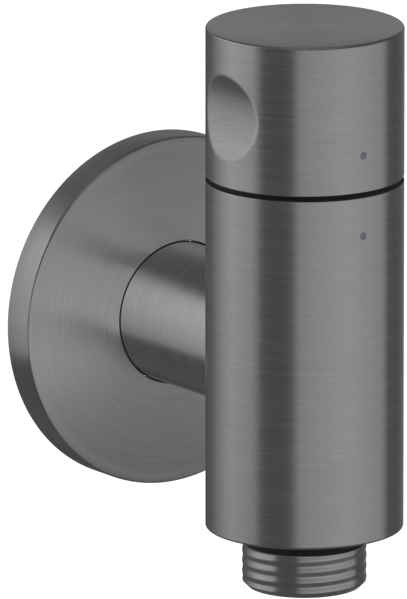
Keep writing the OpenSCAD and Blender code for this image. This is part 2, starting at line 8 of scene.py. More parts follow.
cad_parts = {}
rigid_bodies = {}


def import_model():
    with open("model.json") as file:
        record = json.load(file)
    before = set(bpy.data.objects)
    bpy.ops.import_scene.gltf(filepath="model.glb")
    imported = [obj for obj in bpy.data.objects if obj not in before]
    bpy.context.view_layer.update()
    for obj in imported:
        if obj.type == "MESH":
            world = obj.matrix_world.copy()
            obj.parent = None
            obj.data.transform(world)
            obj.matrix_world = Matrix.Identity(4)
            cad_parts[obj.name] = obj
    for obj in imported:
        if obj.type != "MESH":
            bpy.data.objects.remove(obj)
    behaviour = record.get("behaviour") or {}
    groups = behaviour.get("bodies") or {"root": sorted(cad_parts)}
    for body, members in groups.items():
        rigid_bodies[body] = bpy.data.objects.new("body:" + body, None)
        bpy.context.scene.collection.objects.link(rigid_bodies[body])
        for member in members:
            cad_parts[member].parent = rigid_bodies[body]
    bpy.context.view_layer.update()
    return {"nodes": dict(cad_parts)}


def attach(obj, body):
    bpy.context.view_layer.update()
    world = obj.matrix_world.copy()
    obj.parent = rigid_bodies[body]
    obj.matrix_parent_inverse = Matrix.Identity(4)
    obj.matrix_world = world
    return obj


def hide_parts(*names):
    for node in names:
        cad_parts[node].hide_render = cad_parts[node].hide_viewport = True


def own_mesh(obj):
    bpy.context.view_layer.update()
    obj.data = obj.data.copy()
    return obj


# Wall-mounted stop valve in brushed graphite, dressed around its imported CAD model.
# Sizes in the dictionaries are millimetres, as in the part's source, and meshes are made in metres.
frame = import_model()
scene = bpy.context.scene
scene.view_settings.view_transform = "Standard"
mm = 0.001
print("valve: frame loaded,", len(frame["nodes"]), "nodes")

cameraValues = {
    "turn": -35.67,  # degrees from the front towards the valve's left side
    "lift": 13.95,  # degrees above the horizon
    "distance": 3.2,  # long, because the photograph has almost no perspective
    "tallSide": 0.10045,  # metres that the picture's long side covers at the aim
    "aim": (-0.01249, -0.03233, 0.00893),
    "sensor": 36,
}


def addCamera(v):
    turn, lift = math.radians(v["turn"]), math.radians(v["lift"])
    back = Vector((math.sin(turn) * math.cos(lift), -math.cos(turn) * math.cos(lift), math.sin(lift)))
    data = bpy.data.cameras.new("valveCamera")
    data.sensor_width = v["sensor"]
    data.lens = v["sensor"] * v["distance"] / v["tallSide"]
    data.clip_end = 20
    camera = bpy.data.objects.new("valveCamera", data)
    scene.collection.objects.link(camera)
    camera.location = Vector(v["aim"]) + back * v["distance"]
    camera.rotation_mode = "QUATERNION"
    camera.rotation_quaternion = (-back).to_track_quat("-Z", "Y")
    scene.camera = camera


addCamera(cameraValues)
print("valve: camera set")


# Materials

def linear(hexColour):
    channels = [int(hexColour[i:i + 2], 16) / 255 for i in (1, 3, 5)]
    return [c / 12.92 if c <= 0.04045 else ((c + 0.055) / 1.055) ** 2.4 for c in channels] + [1]


def addNode(tree, kind, settings=None, values=None, links=None):
    node = tree.nodes.new(kind)
    for key, value in (settings or {}).items():
        setattr(node, key, value)
    for key, value in (values or {}).items():
        node.inputs[key].default_value = value
    for key, socket in (links or {}).items():
        tree.links.new(socket, node.inputs[key])
    return node


def newMaterial(name, **values):
    material = bpy.data.materials.new(name)
    material.use_nodes = True
    tree = material.node_tree
    shader = tree.nodes["Principled BSDF"]
    for key, value in values.items():
        shader.inputs[key].default_value = value
    return material, tree, shader


graphiteValues = {"pale": "#979799", "dark": "#8d8d8f", "fine": 0.17, "coarse": 0.55, "length": 9, "relief": 0.03}


def brushedGraphite(name, roughness, anisotropy, v=graphiteValues):
    # Brass with a graphite PVD coat, brushed round and round on the lathe: a soft dark grey metal whose reflections
    # stay crisp along the circumference and smear across the brush lines.
    material, tree, shader = newMaterial(name, Metallic=1.0, Anisotropic=anisotropy, **{"Anisotropic Rotation": 0.25})
    place = addNode(tree, "ShaderNodeTexCoord").outputs["Object"]
    split = addNode(tree, "ShaderNodeSeparateXYZ", links={"Vector": place})
    flat = addNode(tree, "ShaderNodeVectorMath", {"operation": "MULTIPLY"}, {1: (1, 1, 0)}, {0: place})
    radius = addNode(tree, "ShaderNodeVectorMath", {"operation": "LENGTH"}, links={0: flat.outputs[0]})
    # height plus radius runs across the lines on the sides and on the faces alike
    across = addNode(tree, "ShaderNodeMath", {"operation": "ADD"},
                     links={0: split.outputs["Z"], 1: radius.outputs["Value"]})
    around = addNode(tree, "ShaderNodeCombineXYZ",
                     links={"X": split.outputs["X"], "Y": split.outputs["Y"], "Z": across.outputs[0]})
    # real brush lines are about 0.05 mm apart: drawn from 0.17 mm up, so that they just show
    layers = []
    for spacing, along in ((v["fine"], v["length"]), (v["coarse"], 2 * v["length"])):
        scaled = addNode(tree, "ShaderNodeMapping", values={"Scale": (1000 / along, 1000 / along, 1000 / spacing)},
                         links={"Vector": around.outputs[0]})
        layers.append(addNode(tree, "ShaderNodeTexNoise", values={"Scale": 1, "Detail": 2, "Roughness": 0.55},
                              links={"Vector": scaled.outputs[0]}))
    lines = addNode(tree, "ShaderNodeMix", {"data_type": "FLOAT"}, {0: 0.45},
                    {2: layers[0].outputs["Fac"], 3: layers[1].outputs["Fac"]})
    share = addNode(tree, "ShaderNodeMapRange", values={"From Min": 0.36, "From Max": 0.64},
                    links={"Value": lines.outputs[0]})
    tone = addNode(tree, "ShaderNodeMix", {"data_type": "RGBA"}, {6: linear(v["dark"]), 7: linear(v["pale"])},
                   {0: share.outputs[0]})
    tree.links.new(tone.outputs[2], shader.inputs["Base Color"])
    sheen = addNode(tree, "ShaderNodeMapRange", values={
        "From Min": 0.3, "From Max": 0.7, "To Min": roughness[0], "To Max": roughness[1]},
        links={"Value": layers[1].outputs["Fac"]})
    tree.links.new(sheen.outputs[0], shader.inputs["Roughness"])
    bump = addNode(tree, "ShaderNodeBump", values={"Strength": 0.06, "Distance": v["relief"] * mm},
                   links={"Height": lines.outputs[0]})
    tree.links.new(bump.outputs[0], shader.inputs["Normal"])
    tangent = addNode(tree, "ShaderNodeTangent", {"direction_type": "RADIAL", "axis": "Z"})
    tree.links.new(tangent.outputs[0], shader.inputs["Tangent"])
    return material


def grainyMaterial(name, pale, dark, grain, roughness, stretch=(1, 1, 1), **values):
    # Speckle of the given grain in millimetres, in colour, gloss and relief
    material, tree, shader = newMaterial(name, **values)
    place = addNode(tree, "ShaderNodeTexCoord").outputs["Object"]
    scaled = addNode(tree, "ShaderNodeMapping", values={"Scale": [1000 / grain * s for s in stretch]},
                     links={"Vector": place})
    noise = addNode(tree, "ShaderNodeTexNoise", values={"Scale": 1, "Detail": 4, "Roughness": 0.6},
                    links={"Vector": scaled.outputs[0]})
    tone = addNode(tree, "ShaderNodeMix", {"data_type": "RGBA"}, {6: linear(dark), 7: linear(pale)},
                   {0: noise.outputs["Fac"]})
    tree.links.new(tone.outputs[2], shader.inputs["Base Color"])
    gloss = addNode(tree, "ShaderNodeMapRange", values={
        "From Min": 0.3, "From Max": 0.7, "To Min": roughness[0], "To Max": roughness[1]},
        links={"Value": noise.outputs["Fac"]})
    tree.links.new(gloss.outputs[0], shader.inputs["Roughness"])
    relief = addNode(tree, "ShaderNodeBump", values={"Strength": 0.1, "Distance": 0.02 * mm},
                     links={"Height": noise.outputs["Fac"]})
    tree.links.new(relief.outputs[0], shader.inputs["Normal"])
    return material


materials = {
    "graphite": brushedGraphite("graphitePvdBrushed", (0.235, 0.285), 0.3),
    # the rosette is brushed on a coarser belt, whose lines smear its reflections further across them
    "graphiteCoarse": brushedGraphite("graphitePvdBrushedCoarse", (0.24, 0.28), 0.9),
    # threads are cut and coated without brushing: smoother and darker in the cut
    "graphiteCut": brushedGraphite("graphitePvdCut", (0.2, 0.26), 0.3),
    # painted shade: faces in the narrow gap under the handle, in the rosette's hole and on the arm inside it are
    # coloured a dull near black, standing in for the shade that falls there
    "graphiteShadePainted": grainyMaterial("graphitePvdPaintedShade", "#1c1c1d", "#121213", 0.2, (0.55, 0.7), Metallic=1.0),
    # brass bar turned bright: warm yellow, fine tool lines across the axis
    "brass": grainyMaterial("brassTurned", "#c9a45c", "#b8904a", 0.25, (0.22, 0.36), stretch=(0.05, 0.05, 1),
                            Metallic=1.0),
    # stainless steel, drawn and tumbled: pale grey with a soft gloss
    "steel": grainyMaterial("stainlessTumbled", "#b9bcc0", "#a6a9ad", 0.3, (0.22, 0.34), Metallic=1.0),
    # alumina ceramic, lapped: dense, ivory white and satin, with faint grey grains
    "ceramicWhite": grainyMaterial("aluminaLappedWhite", "#efebe2", "#e2ddd2", 0.12, (0.18, 0.28), IOR=1.76),
    "ceramicGrey": grainyMaterial("aluminaLappedGrey", "#999ca0", "#84878b", 0.12, (0.18, 0.28), IOR=1.76),
    # EPDM rubber, moulded: black, with a dull skin that hardly shines
    "rubber": grainyMaterial("epdmMoulded", "#19191a", "#0f0f10", 0.2, (0.6, 0.75), IOR=1.52,
                             **{"Specular IOR Level": 0.2}),
    # acetal plastic, moulded in black and in natural white: waxy and smooth, the black sanded dull
    "plasticBlack": grainyMaterial("acetalMouldedBlack", "#0d0d0e", "#060607", 0.35, (0.45, 0.6), IOR=1.48,
                                   **{"Specular IOR Level": 0.2}),
    "plasticWhite": grainyMaterial("acetalMouldedWhite", "#e6e4dd", "#d9d6cd", 0.35, (0.32, 0.45), IOR=1.48),
    # enamel paint dropped into the drilled dots: dull blue grey with a low skin
    "enamel": grainyMaterial("enamelDropped", "#5f6270", "#50535f", 0.3, (0.45, 0.6), IOR=1.5),
}
nodeMaterials = {
    "brass": ["headwork_bonnet", "spindle"],
    "steel": ["insert_screw", "handle_set_screw", "spindle_circlip"],
    "ceramicWhite": ["fixed_disc"],
    "ceramicGrey": ["rotating_disc"],
    "rubber": ["bonnet_o_ring", "seat_seal", "check_valve_o_ring", "spindle_o_rings", "poppet_seal",
               "rosette_o_ring", "outlet_gasket"],
    "plasticBlack": ["slide_ring", "handle_insert", "check_poppet"],
    "plasticWhite": ["inlet_seal_ring", "check_valve_housing", "spindle_washer"],
}
for finish, nodeNames in nodeMaterials.items():
    for nodeName in nodeNames:
        mesh = frame["nodes"][nodeName].data
        mesh.materials.clear()
        mesh.materials.append(materials[finish])
print("valve: materials made")


# Mesh making

bodyAxis = Matrix.Translation((0, -44 * mm, 0))  # local z runs up the upright cylinder
inletAxis = Matrix.Rotation(math.radians(90), 4, "X")  # local z runs out of the wall along the arm
towardsWall = Matrix.Rotation(math.radians(-90), 4, "X")  # turns local z to the wall


def softCorners(corners, steps=6):
    # Outline of (radius, height, rounding) corners, each rounding drawn as an arc
    outline = []
    count = len(corners)
    for i, (r, z, rounding) in enumerate(corners):
        here = np.array([r, z], float)
        if not rounding:
            outline.append(here)
            continue
        before = np.array(corners[i - 1][:2], float) - here
        after = np.array(corners[(i + 1) % count][:2], float) - here
        before, after = before / np.linalg.norm(before), after / np.linalg.norm(after)
        half = math.acos(max(-1, min(1, before @ after))) / 2
        bisector = (before + after) / np.linalg.norm(before + after)
        centre = here + bisector * rounding / math.sin(half)
        start = here + before * rounding / math.tan(half) - centre
        stop = here + after * rounding / math.tan(half) - centre
        sweep = math.atan2(start[0] * stop[1] - start[1] * stop[0], start @ stop)
        for k in range(steps + 1):
            a = sweep * k / steps
            outline.append(centre + np.array([start[0] * math.cos(a) - start[1] * math.sin(a),
                                              start[0] * math.sin(a) + start[1] * math.cos(a)]))
    return outline


def ringRows(outline, turns):
    # Every outline point becomes a row of the turned grid: radius and height at each step round the axis
    rows = np.empty((len(outline), turns, 2))
    for i, point in enumerate(outline):
        rows[i, :] = point
    return rows


def turnedMesh(name, rows, closed=True, angles=None):
    # Rows of radius and height become one skin round the z axis; a row of no radius closes to a point
    count, turns = rows.shape[:2]
    if angles is None:
        angles = np.arange(turns) * 2 * math.pi / turns
    points, faces, index = [], [], []
    for row in rows:
        if np.all(row[:, 0] < 1e-9):
            index.append([len(points)] * turns)
            points.append((0, 0, row[0, 1] * mm))
        else:
            index.append(list(range(len(points), len(points) + turns)))
            points.extend(zip(row[:, 0] * np.cos(angles) * mm, row[:, 0] * np.sin(angles) * mm, row[:, 1] * mm))
    for i in range(count if closed else count - 1):
        low, high = index[i], index[(i + 1) % count]
        if low[0] == low[1] and high[0] == high[1]:
            continue
        for k in range(turns):
            n = (k + 1) % turns
            face = [low[k], low[n], high[n], high[k]]
            faces.append(list(dict.fromkeys(face)))
    mesh = bpy.data.meshes.new(name)
    mesh.from_pydata(points, [], faces)
    mesh.update()
    return mesh


def smoothShading(mesh):
    mesh.shade_smooth()
    mesh.set_sharp_from_angle(angle=math.radians(32))


def paintGapShade(mesh, low, high, within=20, flat=0):
    # Faces between two levels and within a distance of the axis, all in millimetres, that lie at least so flat, are
    # coloured near black as painted shade
    mesh.materials.append(materials["graphiteShadePainted"])
    for face in mesh.polygons:
        if (low < face.center.z / mm < high and abs(face.normal.z) >= flat
                and math.hypot(face.center.x, face.center.y) < within * mm):
            face.material_index = 1


def addPiece(name, mesh, place, material, slot, body, *nodes, paintedShade=None):
    if not mesh.has_custom_normals:
        smoothShading(mesh)
    mesh.materials.clear()
    mesh.materials.append(materials[material])
    # faces in gaps take the near-black painted-shade material
    if paintedShade:
        paintGapShade(mesh, **paintedShade)
    piece = bpy.data.objects.new(name, mesh)
    scene.collection.objects.link(piece)
    piece.matrix_world = place
    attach(piece, body)
    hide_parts(*nodes)
    print("valve: made", name, len(mesh.polygons), "faces")
    return piece


def withoutShapes(mesh, cutters):
    # The mesh less each cutter, as a new mesh
    target = bpy.data.objects.new("cutTarget", mesh)
    scene.collection.objects.link(target)
    tools = []
    for cutter in cutters:
        tool = bpy.data.objects.new("cutTool", cutter)
        scene.collection.objects.link(tool)
        modifier = target.modifiers.new("cut", "BOOLEAN")
        modifier.operation = "DIFFERENCE"
        modifier.solver = "EXACT"
        modifier.object = tool
        tools.append(tool)
    bpy.context.view_layer.update()
    result = bpy.data.meshes.new_from_object(target.evaluated_get(bpy.context.evaluated_depsgraph_get()))
    for item in [target] + tools:
        bpy.data.objects.remove(item)
    return result


def cylinderMesh(name, radius, length, place, turns=96):
    # Cutter of the given size, from the origin of place along its z axis
    mesh = turnedMesh(name, ringRows([(0, 0), (radius, 0), (radius, length), (0, length)], turns), closed=False)
    mesh.transform(place)
    return mesh


def skinNormals(mesh, skinRadius):
    # Faces on the turned skin take the skin's own normals, so that cuts leave no shading marks.
    # skinRadius gives the skin's radius in millimetres at a bearing round the axis and a height.
    mesh.update()
    normals = np.empty(len(mesh.loops) * 3, np.float32)
    mesh.corner_normals.foreach_get("vector", normals)
    normals = normals.reshape(-1, 3)
    places = np.empty(len(mesh.vertices) * 3, np.float32)
    mesh.vertices.foreach_get("co", places)
    places = places.reshape(-1, 3) / mm
    turn, height = np.arctan2(places[:, 1], places[:, 0]), places[:, 2]
    radius, small = skinRadius(turn, height), 0.002
    byTurn = (skinRadius(turn + small, height) - skinRadius(turn - small, height)) / (2 * small * radius)
    byHeight = (skinRadius(turn, height + small) - skinRadius(turn, height - small)) / (2 * small)
    outward = np.column_stack([np.cos(turn) + byTurn * np.sin(turn), np.sin(turn) - byTurn * np.cos(turn), -byHeight])
    outward /= np.linalg.norm(outward, axis=1)[:, None]
    onSkin = np.abs(np.hypot(places[:, 0], places[:, 1]) - radius) < 0.004
    for face in mesh.polygons:
        ids = list(face.vertices)
        if onSkin[ids].all() and np.min(outward[ids] @ np.array(face.normal)) > 0.9:
            for loop, vertex in zip(face.loop_indices, ids):
                normals[loop] = outward[vertex]
    mesh.normals_split_custom_set([tuple(n) for n in normals])


threadValues = {"majorRadius": 10.4775, "pitch": 1.814, "rounding": 0.249, "flank": 27.5, "rowsPerTurn": 28,
                "lowDepth": 0.12}


def shallowThreadRows(low, high, chamfer, turns, v=threadValues):
    # The outlet's thread as the photograph shows it: low broad ridges, even slopes with their crests worn round
    count = int(round((high - low) / v["pitch"] * v["rowsPerTurn"]))
    heights = np.linspace(low, high, count)
    rows = np.empty((count, turns, 2))
    share = np.arange(turns) / turns
    for i, z in enumerate(heights):
        phase = (z / v["pitch"] - share) % 1.0
        wave = np.arcsin(0.93 * np.cos(2 * math.pi * phase)) / math.asin(0.93)
        ridge = v["majorRadius"] - v["lowDepth"] * (1 - wave) / 2
        rows[i, :, 0] = np.minimum(ridge, min(v["majorRadius"], v["majorRadius"] - chamfer + (z - low)))
        rows[i, :, 1] = z
    return rows


def threadRows(low, high, chamferLow, chamferHigh, turns, v=threadValues):
    # G1/2 pipe thread: rounded crests and roots with 55 degree flanks, cut away by the chamfers at its ends
    flank = math.radians(v["flank"])
    arc = v["rounding"] * math.cos(flank)
    arcDrop = v["rounding"] * (1 - math.sin(flank))
    half = v["pitch"] / 2
    depth = 2 * arcDrop + (half - 2 * arc) / math.tan(flank)
    count = max(2, int(round((high - low) / v["pitch"] * v["rowsPerTurn"])))
    heights = np.linspace(low, high, count)
    rows = np.empty((count, turns, 2))
    share = np.arange(turns) / turns
    for i, z in enumerate(heights):
        phase = (z / v["pitch"] - share) % 1.0
        d = np.abs(phase - 0.5) * v["pitch"]
        crest = v["rounding"] - np.sqrt(np.maximum(v["rounding"] ** 2 - np.minimum(d, arc) ** 2, 0))
        rest = half - d
        root = depth - v["rounding"] + np.sqrt(np.maximum(v["rounding"] ** 2 - np.minimum(rest, arc) ** 2, 0))
        slope = arcDrop + (d - arc) / math.tan(flank)
        drop = np.where(d < arc, crest, np.where(rest < arc, root, slope))
        limit = min(v["majorRadius"], v["majorRadius"] - chamferLow + (z - low),
                    v["majorRadius"] - chamferHigh + (high - z))
        rows[i, :, 0] = np.minimum(v["majorRadius"] - drop, limit)
        rows[i, :, 1] = z
    return rows


# Upright body

bodyValues = {
    "radius": 16.65, "top": 30.4, "bottom": -29.6, "edge": 0.4, "topEdge": 0.2,
    "armRadius": 12.1, "armSeat": 10.937, "spigotRadius": 8.6, "spigotSeat": 9.3, "boreRadius": 6.25,
    "dotRadius": 0.66, "dotHeight": 23.7, "dotDepth": 0.65, "turns": 256,
    # radius and floor of the bores from the top down: headwork's flange, its thread, its neck, the discs, the water
    # way and the check valve
    "bores": ((11.5, 27.4), (10.23, 25.5), (8.43, 11), (8.6, -8), (5.2, -10.6), (7.8, -23.55)),
    "nippleRadius": 8.6,
}


def makeBody(v):
    skin = [(v["radius"], z, 0) for z in np.arange(v["bottom"] + 2, v["top"] - 1, 1.5)]
    outline = [(v["radius"], v["bottom"], v["edge"]), *skin, (v["radius"], v["top"], v["topEdge"])]
    outline.append((v["bores"][0][0], v["top"], 0.15))
    nextRadii = [radius for radius, level in v["bores"][1:]] + [v["nippleRadius"]]
    for (radius, level), nextRadius in zip(v["bores"], nextRadii):
        outline += [(radius, level, 0), (nextRadius, level, 0)]
    outline = softCorners(outline + [(v["nippleRadius"], v["bottom"], 0.3)])
    mesh = turnedMesh("upright_body", ringRows(outline, v["turns"]))
    cutters = [
        cylinderMesh("armSeat", v["armRadius"], 20, towardsWall @ Matrix.Translation((0, 0, v["armSeat"] * mm)), 192),
        cylinderMesh("spigotSeat", v["spigotRadius"], 20,
                     towardsWall @ Matrix.Translation((0, 0, v["spigotSeat"] * mm))),
        cylinderMesh("waterWay", v["boreRadius"], 20, towardsWall),
        dotDrill(v["radius"], v["dotRadius"], v["dotHeight"], v["dotDepth"]),
    ]
    mesh = withoutShapes(mesh, cutters)
    smoothShading(mesh)
    skinNormals(mesh, lambda turn, height: np.full_like(turn, v["radius"]))
    return mesh


def dotDrill(radius, dotRadius, height, depth):
    place = Matrix.Translation((0, -(radius + 1) * mm, height * mm)) @ towardsWall
    return cylinderMesh("dotDrill", dotRadius, depth + 1, place, 48)


# the body's top face in the gap under the handle is coloured near black as painted shade
addPiece("upright_body", makeBody(bodyValues), bodyAxis, "graphite", "graphite_pvd", "valve", "body",
         paintedShade={"low": 30, "high": 31, "flat": 0.5})


# Handle with its two finger dimples

handleValues = {
    "radius": 16.65, "bottom": 31.1, "top": 56.6, "edge": 0.4, "lowEdge": 0.2,
    "hollowRadius": 12.37, "hollowTop": 36.1, "boreRadius": 7.95, "boreTop": 51.45,
    "dimpleHeight": 43.15, "dimpleTall": 14.2, "dimpleDepth": 1.6, "rim": 0.2,
    "windowTurn": 29.0, "windowRise": 7.9, "columns": 84, "rows": 76, "sideColumns": 56,
    "grubRadius": 2.05, "grubHeight": 45.85, "dotRadius": 0.66, "dotHeight": 37.5, "dotDepth": 0.65,
    "capRings": (12, 6, 0),
}


def handleRadius(turn, height, v=handleValues):
    # The cylinder less a wide round groove across each side, which leaves the dimples, with their rims worn round
    sweep = (v["dimpleTall"] ** 2 / 4 + v["dimpleDepth"] ** 2) / (2 * v["dimpleDepth"])
    rise = np.minimum(np.abs(height - v["dimpleHeight"]), 0.9 * sweep)
    floor = v["radius"] - v["dimpleDepth"] + sweep - np.sqrt(sweep ** 2 - rise ** 2)
    groove = floor / np.maximum(np.abs(np.cos(turn)), 0.2)
    worn = np.maximum(v["rim"] - np.abs(groove - v["radius"]), 0) / v["rim"]
    return np.minimum(groove, v["radius"]) - worn ** 2 * v["rim"] / 4


def makeHandle(v):
    # Turned grid, finer where the dimples are
    window = math.radians(v["windowTurn"])
    columns = []
    for side in (0, math.pi):
        columns += list(side - window + 2 * window * np.arange(v["columns"]) / v["columns"])
        columns += list(side + window + (math.pi - 2 * window) * np.arange(v["sideColumns"]) / v["sideColumns"])
    columns = np.array(columns)
    low, high = v["dimpleHeight"] - v["windowRise"], v["dimpleHeight"] + v["windowRise"]
    inner = softCorners([
        (0, v["boreTop"], 0), (v["boreRadius"], v["boreTop"], 0), (v["boreRadius"], v["hollowTop"], 0),
        (v["hollowRadius"], v["hollowTop"], 0), (v["hollowRadius"], v["bottom"], 0.3),
        (v["radius"], v["bottom"], v["lowEdge"]), (v["radius"], v["top"], 0)])[:-1]
    skin = [*np.arange(v["bottom"] + 1, low - 0.5, 1.5), *np.linspace(low, high, v["rows"] + 1),
            *np.arange(high + 1, v["top"] - 0.8, 1.5)]
    cap = softCorners([(v["radius"], v["bottom"], 0), (v["radius"], v["top"], v["edge"]), (0, v["top"], 0)])[1:-1]
    cap += [(radius, v["top"]) for radius in v["capRings"]]
    outline = [tuple(p) for p in inner] + [(v["radius"], z) for z in skin] + [tuple(p) for p in cap]
    rows = ringRows(outline, len(columns))
    for i in range(len(inner), len(inner) + len(skin)):
        rows[i, :, 0] = handleRadius(columns, rows[i, :, 1])
    mesh = turnedMesh("turning_handle", rows, closed=False, angles=columns)
    grub = cylinderMesh("grubHole", v["grubRadius"], 20,
                        Matrix.Translation((0, 0, v["grubHeight"] * mm)) @ towardsWall, 64)
    mesh = withoutShapes(mesh, [grub, dotDrill(v["radius"], v["dotRadius"], v["dotHeight"], v["dotDepth"])])
    smoothShading(mesh)
    skinNormals(mesh, handleRadius)
    return mesh


# the handle's underside in the gap above the body is coloured near black as painted shade
addPiece("turning_handle", makeHandle(handleValues), bodyAxis, "graphite", "graphite_pvd", "handle", "handle",
         paintedShade={"low": 31, "high": 31.5, "flat": 0.5})


# Index dots: enamel that has sunk a little at its rim

dotValues = {"radius": 0.655, "depth": 0.6, "skin": 16.65, "sink": 0.012, "turns": 48}


def makeDot(name, height, v):
    shares = [0, 0.35, 0.65, 0.85, 1]
    outline = [(v["radius"] * s, v["skin"] - v["sink"]) for s in shares]
    outline += [(v["radius"], v["skin"] - v["depth"]), (0, v["skin"] - v["depth"])]
    mesh = turnedMesh(name, ringRows(outline, v["turns"]), closed=False)
    for point in mesh.vertices:
        if point.co.z > (v["skin"] - 0.3) * mm:  # the enamel's skin bends with the cylinder's
            point.co.z = math.sqrt((v["skin"] * mm) ** 2 - point.co.x ** 2) - v["sink"] * mm
    mesh.transform(Matrix.Translation((0, 0, height * mm)) @ Matrix.Rotation(math.radians(90), 4, "X"))
    return mesh


addPiece("body_mark", makeDot("body_mark", bodyValues["dotHeight"], dotValues), bodyAxis, "enamel", "dot_enamel",
         "valve", "body_dot")
addPiece("handle_mark", makeDot("handle_mark", handleValues["dotHeight"], dotValues), bodyAxis, "enamel",
         "dot_enamel", "handle", "handle_dot")


# Arm with its inlet thread

# the arm is coloured near black as painted shade from its shoulder up to paintedShadeEnd, inside the rosette's hole
armValues = {"radius": 12, "seat": 33.063, "spigotEnd": 34.7, "spigotRadius": 8.5, "boreRadius": 6.25,
             "shoulder": 3.0, "edge": 0.4, "paintedShadeEnd": 7.7, "grooveRadius": 9.2275, "grooveLow": 1.2,
             "threadEnd": -12.0, "chamfer": 0.93, "frontChamfer": 0.9, "turns": 192}


def makeArm(v):
    major = threadValues["majorRadius"]
    front = softCorners([
        (v["grooveRadius"], v["grooveLow"], 0), (v["grooveRadius"], v["shoulder"], 0),
        (v["radius"], v["shoulder"], v["edge"]), (v["radius"], v["paintedShadeEnd"], 0), (v["radius"], v["seat"], 0.05),
        (v["spigotRadius"], v["seat"], 0), (v["spigotRadius"], v["spigotEnd"], 0), (v["boreRadius"], v["spigotEnd"], 0),
        (v["boreRadius"], v["threadEnd"], 0.3), (major - v["chamfer"], v["threadEnd"], 0),
    ])
    thread = threadRows(v["threadEnd"], v["grooveLow"], v["chamfer"], v["frontChamfer"], v["turns"])
    return turnedMesh("inlet_pipe", np.concatenate([thread, ringRows(front, v["turns"])]))


# the stretch of arm inside the rosette's hole is coloured near black as painted shade, a dark line round the arm
addPiece("inlet_pipe", makeArm(armValues), inletAxis, "graphite", "graphite_pvd", "valve", "inlet_arm",
         paintedShade={"low": 3, "high": armValues["paintedShadeEnd"]})


# Outlet nipple with its pipe thread and hexagon socket

nippleValues = {"top": -23.55, "shoulder": -32.4, "end": -39.75, "neckRadius": 8.5, "boreRadius": 5.9,
                "socketAcross": 12, "socketDepth": 8, "chamfer": 0.93, "turns": 192}


def makeNipple(v):
    major = threadValues["majorRadius"]
    inner = softCorners([
        (v["neckRadius"], v["shoulder"], 0), (v["neckRadius"], v["top"], 0.2), (v["boreRadius"], v["top"], 0.2),
        (v["boreRadius"], v["end"], 0.2), (major - v["chamfer"], v["end"], 0),
    ])
    thread = shallowThreadRows(v["end"], v["shoulder"], v["chamfer"], v["turns"])
    mesh = turnedMesh("outlet_thread", np.concatenate([thread, ringRows(inner, v["turns"])]))
    socket = turnedMesh("socket", ringRows([
        (0, v["end"] - 1), (v["socketAcross"] / math.sqrt(3), v["end"] - 1),
        (v["socketAcross"] / math.sqrt(3), v["end"] + v["socketDepth"]), (0, v["end"] + v["socketDepth"])], 6),
        closed=False)
    return withoutShapes(mesh, [socket])


addPiece("outlet_thread", makeNipple(nippleValues), bodyAxis, "graphiteCut", "graphite_pvd", "valve", "outlet_nipple")


# Wall rosette

rosetteValues = {"radius": 30, "edge": 6, "crown": 1.8, "wall": 2, "hole": 12.3, "hub": 15.8, "hubBack": 1.2,
                 "chamfer": 0.35, "holeChamfer": 0.12, "grooveLow": 4.1, "grooveHigh": 6.1, "grooveRadius": 13.95,
                 "straight": 0.8, "turns": 256}


def makeRosette(v):
    reach = v["radius"] - 0.3 - v["hole"]
    inner = v["radius"] - v["wall"]

    def face(r):
        # the face falls almost straight from the hole to the rim, a little faster towards the rim
        share = (r - v["hole"]) / reach
        return v["edge"] + v["crown"] * (1 - v["straight"] * share - (1 - v["straight"]) * share ** 2)

    corners = [(v["hub"], v["hubBack"], 0.2), (v["hole"], v["hubBack"], 0.2), (v["hole"], v["grooveLow"], 0),
               (v["grooveRadius"], v["grooveLow"], 0), (v["grooveRadius"], v["grooveHigh"], 0),
               (v["hole"], v["grooveHigh"], 0), (v["hole"], face(v["hole"]) - v["holeChamfer"], 0),
               (v["hole"] + v["holeChamfer"], face(v["hole"] + v["holeChamfer"]), 0)]
    corners += [(r, face(r), 0) for r in np.linspace(v["hole"] + 0.9, v["radius"] - 1.2, 14)]
    corners += [(v["radius"], v["edge"] + 0.02, v["chamfer"]), (v["radius"], 0, 0.15), (inner, 0, 0.15),
                (inner, face(inner) - v["wall"], 0.5)]
    corners += [(r, face(r) - v["wall"], 0) for r in np.linspace(inner - 1.5, v["hub"] + 1.5, 8)]
    corners += [(v["hub"], face(v["hub"]) - v["wall"], 0.5)]
    return turnedMesh("wall_rosette", ringRows(softCorners(corners), v["turns"]))


# the rosette's hole and its inner faces are coloured near black as painted shade
addPiece("wall_rosette", makeRosette(rosetteValues), inletAxis, "graphiteCoarse", "graphite_pvd", "rosette", "rosette",
         paintedShade={"low": 1.3, "high": 7.5, "within": 14.1})


# Check valve spring: round wire with closed end turns

springValues = {"radius": 2.9, "wire": 0.25, "low": -21.7, "high": -16.5, "turns": 4.5, "steps": 30, "sides": 12,
                "closed": 0.16, "closedClimb": 0.055}  # shares of the wire and of the height in each closed end


